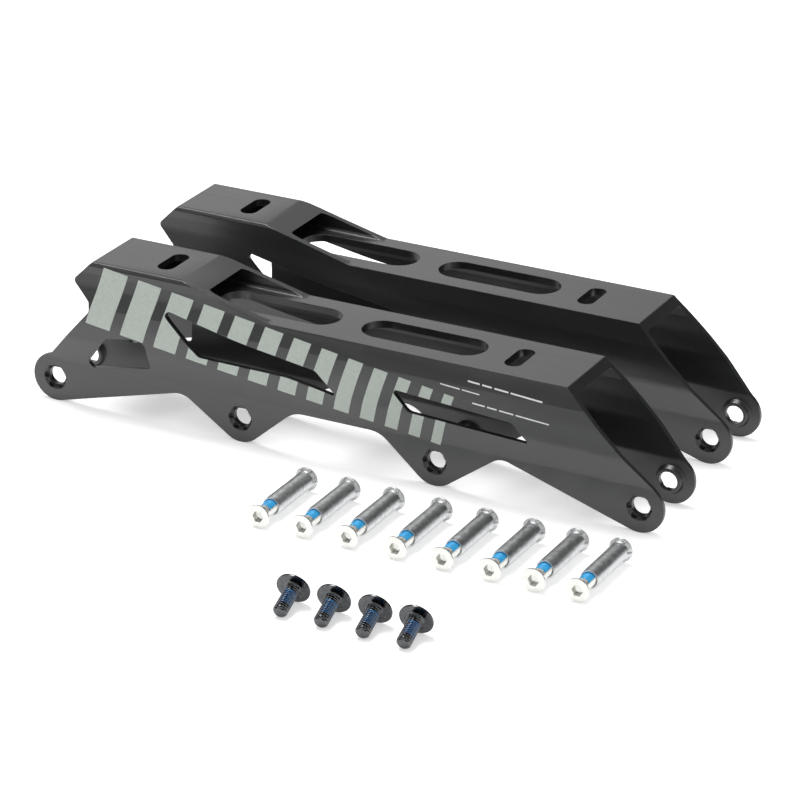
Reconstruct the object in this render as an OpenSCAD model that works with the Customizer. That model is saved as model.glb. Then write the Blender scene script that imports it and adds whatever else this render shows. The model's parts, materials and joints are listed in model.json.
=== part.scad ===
// Inline skate frames: a right and a left extruded aluminium frame for four
// wheels, with the eight two-part axles and the four mounting bolts of the pair.
// The set lies as it is unpacked: both frames stand on their lugs, and the
// hardware lies in two rows beside the right frame.

/* [Frame] */
// Distance from one wheel axle to the next
axle_pitch = 93; // [85:0.5:100]
// Radius of the rounded lug round each axle hole
lug_r = 11; // [10:0.5:12]
// Height of the heel deck above the axles
heel_deck_h = 58; // [54:0.5:62]
// Height of the toe deck above the axles
toe_deck_h = 47.1; // [45:0.1:49]
// Width across the lugs, outside to outside
lug_w = 33.2; // [31:0.1:35]
// Width across the widest part of the walls
belly_w = 41.2; // [39:0.2:43]
// Width of the decks
deck_w = 35.2; // [34:0.2:37]
// Wall thickness of the lugs
lug_wall = 2; // [1.6:0.1:2.6]
// Wall thickness above the lugs
side_wall = 2.4; // [2:0.1:3]
// Thickness of the walls beside the pocket between the decks
pocket_wall = 2.8; // [2.4:0.1:3.2]
// Thickness of the web under the toe deck
toe_web = 3.4; // [2.8:0.1:4]
// Thickness of the web under the heel deck
heel_web = 3.1; // [2.6:0.1:4]
// Inside fillet where a web meets a wall
web_fillet = 1.8; // [1:0.1:2.4]
// Distance between the inside faces of the axle bosses
boss_gap = 24.5; // [24:0.1:25.5]
// Radius of an axle boss at its face
boss_r = 5.5; // [5:0.1:6]

/* [Heel and ramp] */
// Rear end of the heel deck, ahead of the rear axle
heel_end_x = 21; // [18:0.5:24]
// Rear tip of the heel nose, ahead of the rear axle
nose_x = 11.8; // [9:0.1:15]
// Slope of the rear strut that runs down to the rear lug, in degrees
strut_slope = 48.4; // [46:0.2:51]
// Start of the ramp behind the heel deck, ahead of the rear axle
ramp_x = 65; // [63:0.5:67]
// Slope of the ramp, in degrees
ramp_slope = 14.2; // [13:0.1:16]
// Slope of the cut toe end, in degrees
toe_slope = 44.4; // [42:0.2:48]

/* [Deck cuts] */
// Distance between the two mounting slots
mount_span = 165; // [163:0.5:168]
// Centre of the heel mounting slot, ahead of the rear axle
heel_slot_x = 51.4; // [49:0.1:54]
// Length of a mounting slot across the deck
slot_len = 19; // [16:0.5:20.5]
// Play of a mounting bolt in its slot
slot_play = 1.6; // [0.6:0.1:2]
// Play round the bolt head in the access hole under the heel slot
access_play = 1; // [0.5:0.1:1.5]
// Radius of the round ends of the two long deck windows
deck_window_r = 9.2; // [8:0.1:10]
// Rear end of the first long deck window, ahead of the rear axle
deck_window_x = 75.5; // [74:0.5:78]
// Length of a long deck window
deck_window_len = 57; // [54:0.5:59]
// Bridge between the two long deck windows
deck_bridge = 11.5; // [10:0.5:14]

/* [Axles] */
// Diameter of an axle barrel, the part that carries the wheel
barrel_d = 8; // [7.9:0.01:8.1]
// Play between a barrel and its hole in the frame, on the radius
barrel_play = 0.06; // [0.03:0.01:0.1]
// Diameter of the axle heads
head_d = 10.5; // [10:0.1:11]
// Height of the straight rim of an axle head
head_rim = 0.5; // [0.3:0.1:0.8]
// Play round an axle head in its seat, on the radius
seat_play = 0.35; // [0.2:0.05:0.6]
// Nominal diameter of the axle thread
axle_thread_d = 6; // [5.5:0.1:6.4]
// Thread pitch of every bolt
thread_pitch = 1; // [0.8:0.05:1.2]
// Length of an axle bolt under its head
axle_bolt_len = 20; // [18:0.5:22]
// Length of shank that shows between the head and the barrel
axle_gap = 8; // [6:0.5:10]
// Clearance between thread crests and a threaded bore, on the radius
thread_play = 0.06; // [0.03:0.01:0.1]
// Width across the flats of the hex sockets
hex_w = 4; // [3.6:0.1:4.4]
// Depth of the hex sockets
hex_depth = 2.2; // [1.8:0.1:2.6]
// Number of locking keys under a barrel head
key_count = 6; // [4:1:8]
// Radius of a locking key
key_r = 0.6; // [0.5:0.05:0.7]
// Play round a locking key in its notch, on the radius
key_play = 0.6; // [0.3:0.05:0.8]

/* [Mounting bolts] */
// Nominal diameter of the mounting bolts
mount_thread_d = 6; // [5.5:0.1:6.4]
// Length of a mounting bolt under its head
mount_bolt_len = 14; // [12:0.5:16]
// Diameter of the wide mounting bolt head
mount_head_d = 14.2; // [13:0.1:15]
// Height of the mounting bolt head
mount_head_h = 2.6; // [2.4:0.1:3.2]
// Thickness of the head's outer rim
mount_rim = 0.9; // [0.7:0.1:1.2]

/* [Layout] */
// Distance from the middle of the right frame to the middle of the left frame
frame_spacing = 74.2; // [60:0.2:90]
// How far the left frame stands back from the right one
frame_stagger = 2; // [0:0.5:10]
// Axle bolt faces at the rear end of the row, from the middle of the right frame
axle_row_y = 86.5; // [80:0.5:95]
// How far the axle row closes in on the frame over its length
axle_row_slant = 1.5; // [0:0.1:4]
// Mounting bolt rims, from the middle of the right frame
bolt_row_y = 138.4; // [130:0.2:150]
// How far the mounting bolt row moves away over its length
bolt_row_slant = 0.6; // [0:0.1:2]
// Turn of the mounting bolts from straight across the set, in degrees
bolt_turn = 5.5; // [0:0.5:12]

/* [Hidden] */
$fn = 64;
frame_names = ["frame_right", "frame_left"];
axle_count = 8;
bolt_count = 4;

// Cuts run this far past the faces that they open
past = 1;
// Largest turn of one step round a rounded corner
arc_step = 7.5;

// Fits between the axles and the frame
bore_r = barrel_d / 2 + barrel_play;
head_r = head_d / 2;
seat_r = head_r + seat_play;
seat_depth = seat_r - bore_r;
key_bite = 0.1;
key_lead = 0.2;
notch_r = key_r + key_play;
notch_depth = seat_depth + 2 * key_lead;
key_ring_r = barrel_d / 2 + key_r - key_bite;
head_proud = head_rim + head_r - seat_r;

// Axle lengths, so that both heads seat before the barrel meets the bolt head
thread_r = axle_thread_d / 2;
bolt_head_t = head_rim + head_r - thread_r;
mouth_gap = 0.35;
barrel_len = lug_w + 2 * head_proud - bolt_head_t - mouth_gap;
thread_depth = 0.6;
crest_share = 0.1;
blind_room = 2;
edge_chamfer = 0.4;
head_chamfer = 0.2;
boss_flare = 1;

// Thread-lock patches: [start under the head, length, side of the shank, turn round it]
axle_patch = [3, 9, -120, 180];
mount_patch = [3.4, 6.8, 55, 135];
patch_core = 0.2;

// Heights from the axles, read along the walls
knee_h = 9.6;
belly_h = 22;
shoulder_h = 31;
crease_h = 38.5;
belly_lean = 0.4;
toe_web_under = toe_deck_h - toe_web;
heel_web_under = heel_deck_h - heel_web;
pocket_h = heel_web_under - toe_deck_h;
heel_bend_h = heel_web_under - min(2, 0.4 * pocket_h);
crease_step = 0.8;
crease_w = belly_w - 2 * crease_step;
toe_edge_step = 0.5;
toe_edge_w = deck_w + 2 * toe_edge_step;
pocket_w = deck_w - 2 * pocket_wall;
pocket_fillet = min(web_fillet, 0.45 * pocket_h);

// Places along the frame, ahead of the rear axle
front_axle = 3 * axle_pitch;
axle_xs = [for (i = [0 : 3]) i * axle_pitch];
toe_slot_x = heel_slot_x + mount_span;
ramp_foot_x = ramp_x + (heel_deck_h - toe_deck_h) / tan(ramp_slope);
nose_rise = 1.4;
nose_h = toe_deck_h + nose_rise;
strut_top_x = 19.5;
strut_top_slope = 274;
strut_foot = [2.8, 16];
arch_h = 8;
frame_front = front_axle + lug_r;

// The set's own origin: the middle of its outline on the floor
mount_thread_r = mount_thread_d / 2;
mount_tip_chamfer = 0.7;
plain_tip = 1;
mount_hex_depth = 1.8;
mount_head_r = mount_head_d / 2;
bolt_tilt = atan((mount_head_r - mount_thread_r) / (mount_bolt_len - mount_tip_chamfer));
bolt_tip_edge_r = mount_thread_r - mount_tip_chamfer;
bolt_tip_reach = mount_bolt_len * cos(bolt_tilt) * cos(bolt_turn)
    + bolt_tip_edge_r * sqrt(1 - pow(cos(bolt_tilt) * cos(bolt_turn), 2));
set_front = frame_front;
set_back = -frame_stagger - lug_r;
set_left = frame_spacing + belly_w / 2;
set_right = -bolt_row_y - bolt_row_slant - bolt_tip_reach;
origin = [(set_front + set_back) / 2, (set_left + set_right) / 2, -lug_r];

// Places of the axles and of the mounting bolts along their rows
axle_row_x = [141.4, 161.5, 182, 203.8, 224.6, 245.5, 264.8, 283.7];
bolt_row_x = [186.9, 205, 223.2, 241.1];

// Plane geometry for rounded outlines

function unit(v) = v / norm(v);
function cross_of(a, b) = a.x * b.y - a.y * b.x;
function heading(a) = [cos(a), sin(a)];
function rotated(v, a) = [v.x * cos(a) - v.y * sin(a), v.x * sin(a) + v.y * cos(a)];

// Point where the line through p at angle a meets the line through q at angle b
function meet(p, a, q, b) =
    p + heading(a) * cross_of(q - p, heading(b)) / cross_of(heading(a), heading(b));

// Edge that runs at angle a, anticlockwise round the outline, along a lug's circle
function lug_edge(x, a) = [[x, 0] + lug_r * heading(a - 90), a];

// Corners of an outline from its edges [point, angle] and the radius after each
function corners_of(edges, radii) = [
    for (i = [0 : len(edges) - 1])
        let (e = edges[i], f = edges[(i + 1) % len(edges)], p = meet(e[0], e[1], f[0], f[1]))
        [p.x, p.y, radii[i]]
];

// Corners moved along the frame
function shifted(corners, x) = [for (c = corners) [c.x + x, c.y, c.z]];

function flat(p) = [p.x, p.y];

// Points of the arc of radius r that rounds the corner v between its neighbours
function rounding(a, v, b, r) =
    let (
        half = acos(unit(a - v) * unit(b - v)) / 2,
        centre = v + unit(unit(a - v) + unit(b - v)) * r / sin(half),
        start = v + unit(a - v) * r / tan(half) - centre,
        turn = (90 - half) * 2 * sign(cross_of(v - a, b - v)),
        steps = max(1, ceil(abs(turn) / arc_step))
    )
    [for (i = [0 : steps]) centre + rotated(start, turn * i / steps)];

// Outline through corners [x, y, radius], listed anticlockwise
module outline(corners) {
    n = len(corners);
    function at(i) = flat(corners[(i + n) % n]);
    polygon([
        for (i = [0 : n - 1])
            each corners[i].z > 0
                ? rounding(at(i - 1), at(i), at(i + 1), corners[i].z)
                : [at(i)]
    ]);
}

// Slot with round ends, centred, its length along x
module obround(len, r) {
    square([len - 2 * r, 2 * r], center = true);
    for (side = [-1, 1])
        translate([side * (len / 2 - r), 0]) circle(r);
}

// Lays an outline drawn in x and z upright, and cuts or fills it across the frame
module across(width) {
    rotate([90, 0, 0]) linear_extrude(width, center = true) children();
}

// Extrudes an outline drawn in y and z along the frame
module along(from, to) {
    translate([from, 0, 0]) rotate([90, 0, 90]) linear_extrude(to - from) children();
}

// Cross section of the extrusion

// Half the outside width between the crease and the toe deck
function upper_half(h) =
    (crease_w + (toe_edge_w - crease_w) * (h - crease_h) / (toe_deck_h - crease_h)) / 2;

// Radius of a bend in the side between the decks, limited by the wall there
function side_bend(r) =
    let (rise = heel_bend_h - toe_deck_h)
    min(r, norm([rise, toe_edge_step]) / tan(atan(toe_edge_step / rise) / 2) / 2);

// Corners of the wall's outer face, from the foot up
function outer_face() = [
    [lug_w / 2, -lug_r - past, 0],
    [lug_w / 2, knee_h, 6],
    [belly_w / 2 - belly_lean, belly_h, 15],
    [belly_w / 2, shoulder_h, 30],
    [crease_w / 2, crease_h, 4],
    [toe_edge_w / 2, toe_deck_h, side_bend(20)],
    [deck_w / 2, heel_bend_h, side_bend(10)],
    [deck_w / 2, heel_deck_h, 2]
];

function mirrored(corners) = [
    for (i = [len(corners) - 1 : -1 : 0]) [-corners[i].x, corners[i].y, corners[i].z]
];

module outer_section() {
    outline(concat(outer_face(), mirrored(outer_face())));
}

// The wheel channel, open below
function channel_face() = [
    [lug_w / 2 - lug_wall, -lug_r - 3 * past, 0],
    [lug_w / 2 - lug_wall, knee_h, 6],
    [belly_w / 2 - belly_lean - side_wall, belly_h, 15],
    [belly_w / 2 - side_wall, shoulder_h, 30],
    [crease_w / 2 - side_wall, crease_h, 4],
    [upper_half(toe_web_under) - side_wall, toe_web_under, web_fillet]
];

module channel_section() {
    outline(concat(channel_face(), mirrored(channel_face())));
}

// The closed pocket between the two webs
module pocket_section() {
    outline([
        [-pocket_w / 2, toe_deck_h, pocket_fillet],
        [pocket_w / 2, toe_deck_h, pocket_fillet],
        [pocket_w / 2, heel_web_under, pocket_fillet],
        [-pocket_w / 2, heel_web_under, pocket_fillet]
    ]);
}

// Side outline of a frame, with the lug arcs struck from the axles
module side_outline() {
    edges = [
        lug_edge(axle_xs[0], 15),
        lug_edge(axle_xs[1], -34),
        lug_edge(axle_xs[1], 41),
        [[0, arch_h], 0],
        lug_edge(axle_xs[2], -41),
        lug_edge(axle_xs[2], 36),
        lug_edge(axle_xs[3], -17.5),
        lug_edge(axle_xs[3], 180 - toe_slope),
        [[0, toe_deck_h], 180],
        [[ramp_x, heel_deck_h], 180 - ramp_slope],
        [[0, heel_deck_h + past], 180],
        [[heel_end_x, heel_deck_h], 225],
        [[nose_x, nose_h], 315],
        [[strut_top_x, nose_h], strut_top_slope],
        [strut_foot, 180 + strut_slope],
        lug_edge(axle_xs[0], 200),
        lug_edge(axle_xs[0], 290)
    ];
    arch_radii = [10, lug_r, 12, 12, lug_r, 8, lug_r, 1];
    deck_radii = [6, 0, 0, 2, 2, 3];
    rear_radii = [5, lug_r, lug_r];
    outline(corners_of(edges, concat(arch_radii, deck_radii, rear_radii)));
}

// Weight-saving window between the first two wheels
module rear_window() {
    outline(shifted([
        [20, 8.5, 2],
        [50, 14.4, 2],
        [48.5, 26.4, 3],
        [41, 27.2, 6],
        [28.3, 25, 4],
        [17.2, 11, 2]
    ], axle_xs[0]));
}

// Long spear-shaped window over the second wheel
module middle_window() {
    outline(shifted([
        [-35.6, 41.8, 1.5],
        [-18, 25.9, 4],
        [25, 25.6, 40],
        [48.6, 21.6, 0.6],
        [38.5, 31.4, 3],
        [2.3, 36.4, 150],
        [-33, 43.3, 1.5]
    ], axle_xs[1]));
}

// Short spear-shaped window over the third wheel
module front_window() {
    outline(shifted([
        [-18.8, 30.7, 1.2],
        [-10.6, 21.6, 4],
        [44.4, 18.9, 0.6],
        [37.2, 27, 3]
    ], axle_xs[2]));
}

// Bore, conical seats and key notches for one axle, through both walls
module axle_hole() {
    rotate([90, 0, 0]) cylinder(h = belly_w, r = bore_r, center = true);
    for (side = [-1, 1])
        rotate([90 * side, 0, 0]) {
            translate([0, 0, lug_w / 2 - seat_depth])
                cylinder(h = seat_depth + past, r1 = bore_r, r2 = seat_r + past);
            for (k = [0 : key_count - 1])
                rotate(k * 360 / key_count)
                    translate([key_ring_r, 0, lug_w / 2 - notch_depth])
                        cylinder(h = notch_depth + past, r = notch_r);
        }
}

// Turned bosses that locate the wheel bearings, inside both walls
module axle_bosses() {
    boss_h = lug_w / 2 - lug_wall - boss_gap / 2;
    for (side = [-1, 1])
        rotate([90 * side, 0, 0])
            translate([0, 0, boss_gap / 2]) {
                cylinder(h = boss_h, r1 = boss_r, r2 = boss_r + boss_flare);
                translate([0, 0, boss_h]) cylinder(h = lug_wall / 2, r = boss_r + boss_flare);
            }
}

// Slot across the deck for a mounting bolt, cut between two heights
module cross_slot(x, len, r, from, to) {
    translate([x, 0, from]) linear_extrude(to - from) rotate(90) obround(len, r);
}

// Long window along the middle of the toe deck's web
module deck_window(from_x) {
    translate([from_x + deck_window_len / 2, 0, toe_web_under - past])
        linear_extrude(toe_web + 2 * past) obround(deck_window_len, deck_window_r);
}

// One extruded and machined frame, from its rear axle
module frame_body() {
    slot_r = mount_thread_r + slot_play / 2;
    access_r = mount_head_r + access_play;
    access_len = slot_len - 2 * slot_r + 2 * access_r;
    second_window_x = deck_window_x + deck_window_len + deck_bridge;
    difference() {
        union() {
            difference() {
                intersection() {
                    along(-lug_r - past, frame_front + past) outer_section();
                    across(belly_w + 2 * past) side_outline();
                }
                along(-lug_r - 2 * past, frame_front + 2 * past) channel_section();
                along(-lug_r - 2 * past, ramp_foot_x + past) pocket_section();
            }
            for (x = axle_xs) translate([x, 0, 0]) axle_bosses();
        }
        for (x = axle_xs) translate([x, 0, 0]) axle_hole();
        across(belly_w + 2 * past) rear_window();
        across(belly_w + 2 * past) middle_window();
        across(belly_w + 2 * past) front_window();
        cross_slot(heel_slot_x, slot_len, slot_r, heel_web_under - past, heel_deck_h + past);
        cross_slot(heel_slot_x, access_len, access_r, toe_web_under - past, toe_deck_h + past);
        cross_slot(toe_slot_x, slot_len, slot_r, toe_web_under - past, toe_deck_h + past);
        deck_window(deck_window_x);
        deck_window(second_window_x);
    }
}

// Frames

module frame_right() {
    color("#2b2b2d") translate(-origin) frame_body();
}

module frame_left() {
    color("#2b2b2d") translate(-origin) translate([-frame_stagger, frame_spacing, 0]) frame_body();
}

// Threaded parts, drawn along z from the underside of the head

// Crests and roots of a thread of radius r between two heights
function thread_flanks(r, from, to) = [
    for (i = [0 : floor((to - from) / thread_pitch) - 1])
        let (s = from + i * thread_pitch)
        each [
            [r, s + crest_share * thread_pitch],
            [r - thread_depth, s + thread_pitch / 2],
            [r, s + (1 - crest_share) * thread_pitch]
        ]
];

// Solid shank with ring threads from one height to another, and a chamfered tip
module threaded_shank(r, len, from, to, tip) {
    rotate_extrude()
        polygon(concat(
            [[0, -edge_chamfer], [r, -edge_chamfer]],
            thread_flanks(r, from, to),
            [[r, len - tip], [r - tip, len], [0, len]]
        ));
}

// Region of a thread-lock patch: a part of a ring round the shank
module patch_region(r, patch) {
    rotate(patch[2] - patch[3] / 2)
        rotate_extrude(angle = patch[3])
            translate([r - thread_depth - patch_core, patch[0]])
                square([thread_depth + patch_core + past, patch[1]]);
}

module hex_socket(depth) {
    cylinder(h = depth, r = hex_w / sqrt(3), $fn = 6);
}

// Axle bolt: countersunk head with a hex socket, and a threaded shank
module axle_shank() {
    threaded_shank(thread_r, axle_bolt_len, thread_pitch, axle_bolt_len - thread_pitch, edge_chamfer);
}

module axle_bolt_solid() {
    difference() {
        union() {
            rotate_extrude()
                polygon([
                    [0, -bolt_head_t],
                    [head_r - head_chamfer, -bolt_head_t],
                    [head_r, -bolt_head_t + head_chamfer],
                    [head_r, -bolt_head_t + head_rim],
                    [thread_r, 0],
                    [0, 0]
                ]);
            axle_shank();
        }
        translate([0, 0, -bolt_head_t - past]) hex_socket(hex_depth + past);
        patch_region(thread_r, axle_patch);
    }
}

// Axle barrel: tube with a blind threaded bore, a conical head and locking keys
module axle_barrel_solid() {
    bore = thread_r + thread_play;
    bore_len = axle_bolt_len + blind_room;
    cone_h = head_r - barrel_d / 2;
    difference() {
        union() {
            rotate_extrude()
                polygon([
                    [0, 0],
                    [barrel_d / 2 - edge_chamfer, 0],
                    [barrel_d / 2, edge_chamfer],
                    [barrel_d / 2, barrel_len - head_rim - cone_h],
                    [head_r, barrel_len - head_rim],
                    [head_r, barrel_len - head_chamfer],
                    [head_r - head_chamfer, barrel_len],
                    [0, barrel_len]
                ]);
            for (k = [0 : key_count - 1])
                rotate(k * 360 / key_count)
                    translate([key_ring_r, 0, barrel_len - head_rim - cone_h - key_lead])
                        cylinder(h = key_lead + cone_h + head_rim / 2, r = key_r);
        }
        rotate_extrude()
            polygon([
                [0, -past],
                [bore + edge_chamfer + past, -past],
                [bore, edge_chamfer],
                [bore, bore_len],
                [0, bore_len + bore / 2]
            ]);
    }
}

// Mounting bolt: wide low head with a hex socket, and a threaded shank
module mount_shank() {
    threaded_shank(mount_thread_r, mount_bolt_len, thread_pitch,
        mount_bolt_len - plain_tip, mount_tip_chamfer);
}

module mounting_bolt_solid() {
    dome_r = (pow(mount_head_r, 2) + pow(mount_head_h - mount_rim, 2))
        / (2 * (mount_head_h - mount_rim));
    difference() {
        union() {
            rotate_extrude()
                intersection() {
                    translate([0, -mount_head_h]) square([mount_head_r, mount_head_h]);
                    translate([0, dome_r - mount_head_h]) circle(r = dome_r, $fn = 256);
                }
            mount_shank();
        }
        translate([0, 0, -mount_head_h - past]) hex_socket(mount_hex_depth + past);
        patch_region(mount_thread_r, mount_patch);
    }
}

// Places of the loose pieces

function row_share(xs, i) = (xs[i] - xs[0]) / (xs[len(xs) - 1] - xs[0]);

// Lies along y, its head to the front of the set, both heads on the floor
module place_axle(i) {
    face_y = -axle_row_y + axle_row_slant * row_share(axle_row_x, i);
    translate(-origin)
        translate([axle_row_x[i], face_y + bolt_head_t, head_r - lug_r])
            rotate([-90, 0, 0]) children();
}

// Lies tilted on its head's rim and the edge of its tip
module place_mounting_bolt(i) {
    rim_y = -bolt_row_y - bolt_row_slant * row_share(bolt_row_x, i);
    translate(-origin)
        translate([bolt_row_x[i], rim_y, mount_head_r * cos(bolt_tilt) - lug_r])
            rotate([90 + bolt_tilt, 0, bolt_turn]) children();
}

module axle_bolt(i) {
    color("#e4e5e2") place_axle(i) axle_bolt_solid();
}

module axle_thread_lock(i) {
    color("#1e9ad6")
        place_axle(i)
            intersection() {
                axle_shank();
                patch_region(thread_r, axle_patch);
            }
}

module axle_barrel(i) {
    color("#b4b5b6") place_axle(i) translate([0, 0, axle_gap]) axle_barrel_solid();
}

module mounting_bolt(i) {
    color("#1b1b1d") place_mounting_bolt(i) mounting_bolt_solid();
}

module mounting_thread_lock(i) {
    color("#1f4f86")
        place_mounting_bolt(i)
            intersection() {
                mount_shank();
                patch_region(mount_thread_r, mount_patch);
            }
}

frame_right();
frame_left();
for (i = [1 : axle_count]) {
    axle_barrel(i - 1);
    axle_bolt(i - 1);
    axle_thread_lock(i - 1);
}
for (i = [1 : bolt_count]) {
    mounting_bolt(i - 1);
    mounting_thread_lock(i - 1);
}
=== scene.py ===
# %% [markdown]
# # A pair of inline skate frames with their axles and bolts
#
# A skate frame is the metal chassis under the boot. It is cut from one length of extruded aluminium,
# machined to its outline and anodised black. Beside the pair lie eight two-part axles and four short
# bolts that fix the frames to the boots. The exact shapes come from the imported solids, and this
# notebook gives them their edges, threads, print and finishes. The first cell loads the solids and
# keeps the size of their box, so that the dressed set can be compared with it at the end.

# %% Load the solid model
import json
from math import cos, pi, radians, sin

import bmesh
import bpy
from mathutils import Matrix, Vector


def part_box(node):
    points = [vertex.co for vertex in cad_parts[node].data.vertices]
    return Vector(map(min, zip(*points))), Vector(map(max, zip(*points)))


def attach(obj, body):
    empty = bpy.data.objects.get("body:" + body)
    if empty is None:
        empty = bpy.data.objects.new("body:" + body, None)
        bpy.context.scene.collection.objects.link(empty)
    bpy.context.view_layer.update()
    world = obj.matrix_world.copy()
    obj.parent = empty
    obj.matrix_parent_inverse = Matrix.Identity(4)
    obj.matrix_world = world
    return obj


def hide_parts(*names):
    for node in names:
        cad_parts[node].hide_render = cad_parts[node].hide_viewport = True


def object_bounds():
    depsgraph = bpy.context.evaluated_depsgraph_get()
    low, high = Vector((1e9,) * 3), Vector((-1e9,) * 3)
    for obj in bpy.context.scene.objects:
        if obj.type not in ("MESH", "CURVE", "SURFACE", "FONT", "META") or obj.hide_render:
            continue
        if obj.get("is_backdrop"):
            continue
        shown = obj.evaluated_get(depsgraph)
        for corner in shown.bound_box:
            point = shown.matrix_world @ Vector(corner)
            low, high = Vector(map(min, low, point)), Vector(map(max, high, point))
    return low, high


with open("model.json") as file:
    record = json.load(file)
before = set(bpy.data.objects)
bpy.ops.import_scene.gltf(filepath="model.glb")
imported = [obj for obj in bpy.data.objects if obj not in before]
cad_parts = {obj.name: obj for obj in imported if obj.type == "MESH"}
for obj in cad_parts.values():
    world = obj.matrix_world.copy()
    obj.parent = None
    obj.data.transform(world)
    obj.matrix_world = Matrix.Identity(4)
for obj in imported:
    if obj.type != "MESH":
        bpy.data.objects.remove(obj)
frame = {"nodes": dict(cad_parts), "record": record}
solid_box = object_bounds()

# Plain sizes in this file are millimetres. Times MM they are Blender's metres.
MM = 0.001
print("solid pieces:", len(frame["nodes"]))

# %% [markdown]
# ## Colours and nodes
#
# Paint charts and screens give colours as sRGB hex values, but shaders add and multiply light, so each
# colour is turned to linear light by one function. A second small function adds a shader or geometry
# node, sets its options and feeds its inputs, from a number or from another node's output. That keeps
# every material short enough to read.

# %% Colour and node helpers
def linear(hex_colour):
    """sRGB hex text to a linear colour with full alpha."""
    parts = [int(hex_colour[i:i + 2], 16) / 255 for i in (1, 3, 5)]
    return (*[p / 12.92 if p <= 0.04045 else ((p + 0.055) / 1.055) ** 2.4 for p in parts], 1.0)


MATH = "ShaderNodeMath"


def add(tree, kind, inputs=None, **options):
    """Adds a node, sets its options, and feeds its inputs, by name or number, with values or links.

    A node given as an input feeds it from its first output.
    """
    made = tree.nodes.new(kind)
    for name, value in options.items():
        setattr(made, name, value)
    for key, value in (inputs or {}).items():
        if isinstance(value, bpy.types.Node):
            value = value.outputs[0]
        if isinstance(value, bpy.types.NodeSocket):
            tree.links.new(value, made.inputs[key])
        else:
            made.inputs[key].default_value = value
    return made


def per_mm(size):
    """Texture scale, in metres of object space, for a pattern that repeats every size millimetres."""
    return 1 / (size * MM)


print("black anodising in linear light:", [round(c, 4) for c in linear("#161718")])

# %% [markdown]
# ## The floor, the backdrop and the light
#
# The set lies on a wide flat white floor that meets the white world without a seam. The floor is a matt
# white sheet, and a little glow that only the camera and mirror rays see lifts its lit part to full white,
# while shadows stay. The world behind it is white for the camera, for reflections and for glass, and
# plainer for the light it gives, so a colour renders about as it is written. A large soft panel nearly
# overhead keeps the shadows under the pieces, and a weak one at the back left gives the decks their sheen.

# %% Floor and world
def seen_directly(tree):
    """1 for camera, mirror and glass rays, 0 for the diffuse ones."""
    path = add(tree, "ShaderNodeLightPath").outputs
    either = add(tree, MATH, {0: path["Is Camera Ray"], 1: path["Is Glossy Ray"]}, operation="MAXIMUM")
    return add(tree, MATH, {0: either, 1: path["Is Transmission Ray"]}, operation="MAXIMUM")


FLOOR_HALF = 5.0
FLOOR_GAP = 0.02 * MM
FLOOR_GLOW = 0.42
floor_mesh = bpy.data.meshes.new("studio_floor")
floor_mesh.from_pydata([(-FLOOR_HALF, -FLOOR_HALF, 0), (FLOOR_HALF, -FLOOR_HALF, 0),
                        (FLOOR_HALF, FLOOR_HALF, 0), (-FLOOR_HALF, FLOOR_HALF, 0)], [], [(0, 1, 2, 3)])
floor = bpy.data.objects.new("studio_floor", floor_mesh)
floor.location.z = -FLOOR_GAP
bpy.context.scene.collection.objects.link(floor)
floor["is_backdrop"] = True

paper = bpy.data.materials.new("white_paper_sweep")
paper.use_nodes = True
tree = paper.node_tree
tree.nodes.clear()
lit = add(tree, "ShaderNodeBsdfDiffuse", {"Color": linear("#f0f0f0")})
glow = add(tree, MATH, {0: seen_directly(tree), 1: FLOOR_GLOW}, operation="MULTIPLY")
lift = add(tree, "ShaderNodeEmission", {"Strength": glow})
both = add(tree, "ShaderNodeAddShader", {0: lit, 1: lift})
add(tree, "ShaderNodeOutputMaterial", {"Surface": both})
floor_mesh.materials.append(paper)

world = bpy.data.worlds.new("white_studio")
bpy.context.scene.world = world
world.use_nodes = True
tree = world.node_tree
tree.nodes.clear()
AMBIENT = 0.6
shown = add(tree, "ShaderNodeBackground", {"Strength": 1.0, "Color": (1, 1, 1, 1)})
given = add(tree, "ShaderNodeBackground", {"Strength": AMBIENT, "Color": (1, 1, 1, 1)})
pick = add(tree, "ShaderNodeMixShader", {0: seen_directly(tree), 1: given, 2: shown})
add(tree, "ShaderNodeOutputWorld", {"Surface": pick})
print("floor side:", 2 * FLOOR_HALF, "m, ambient level:", AMBIENT)

# %% Lamps
def soft_panel(name, place, side, watts):
    """A square lamp that faces the middle of the set."""
    lamp = bpy.data.lights.new(name, "AREA")
    lamp.shape, lamp.size, lamp.energy = "SQUARE", side, watts
    obj = bpy.data.objects.new(name, lamp)
    obj.location = place
    obj.rotation_euler = (Vector((0, 0, 0)) - Vector(place)).to_track_quat("-Z", "Y").to_euler()
    bpy.context.scene.collection.objects.link(obj)


soft_panel("key_panel", (-0.5, 0.25, 1.8), 0.8, 24)
soft_panel("sheen_panel", (-1.1, 1.6, 1.0), 0.9, 1.2)
soft_panel("fill_panel", (1.3, -0.5, 1.6), 0.9, 2)

# %% [markdown]
# Product photographers hang dark cards around a shiny thing, so that its edges and hollows read against
# the white. Here a low dark card leans away in front of the set, which darkens the upper walls. A grey one
# hangs over the set, and another stands behind it on the right, which darkens the cut ends. Only
# reflections see the cards: they throw no shadow and take no light from the set.

# %% Cards
def card_finish(name, colour):
    """A finish that looks the same from everywhere."""
    made = bpy.data.materials.new(name)
    made.use_nodes = True
    made.node_tree.nodes.clear()
    even = add(made.node_tree, "ShaderNodeEmission", {"Color": linear(colour), "Strength": 1.0})
    add(made.node_tree, "ShaderNodeOutputMaterial", {"Surface": even})
    return made


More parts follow.
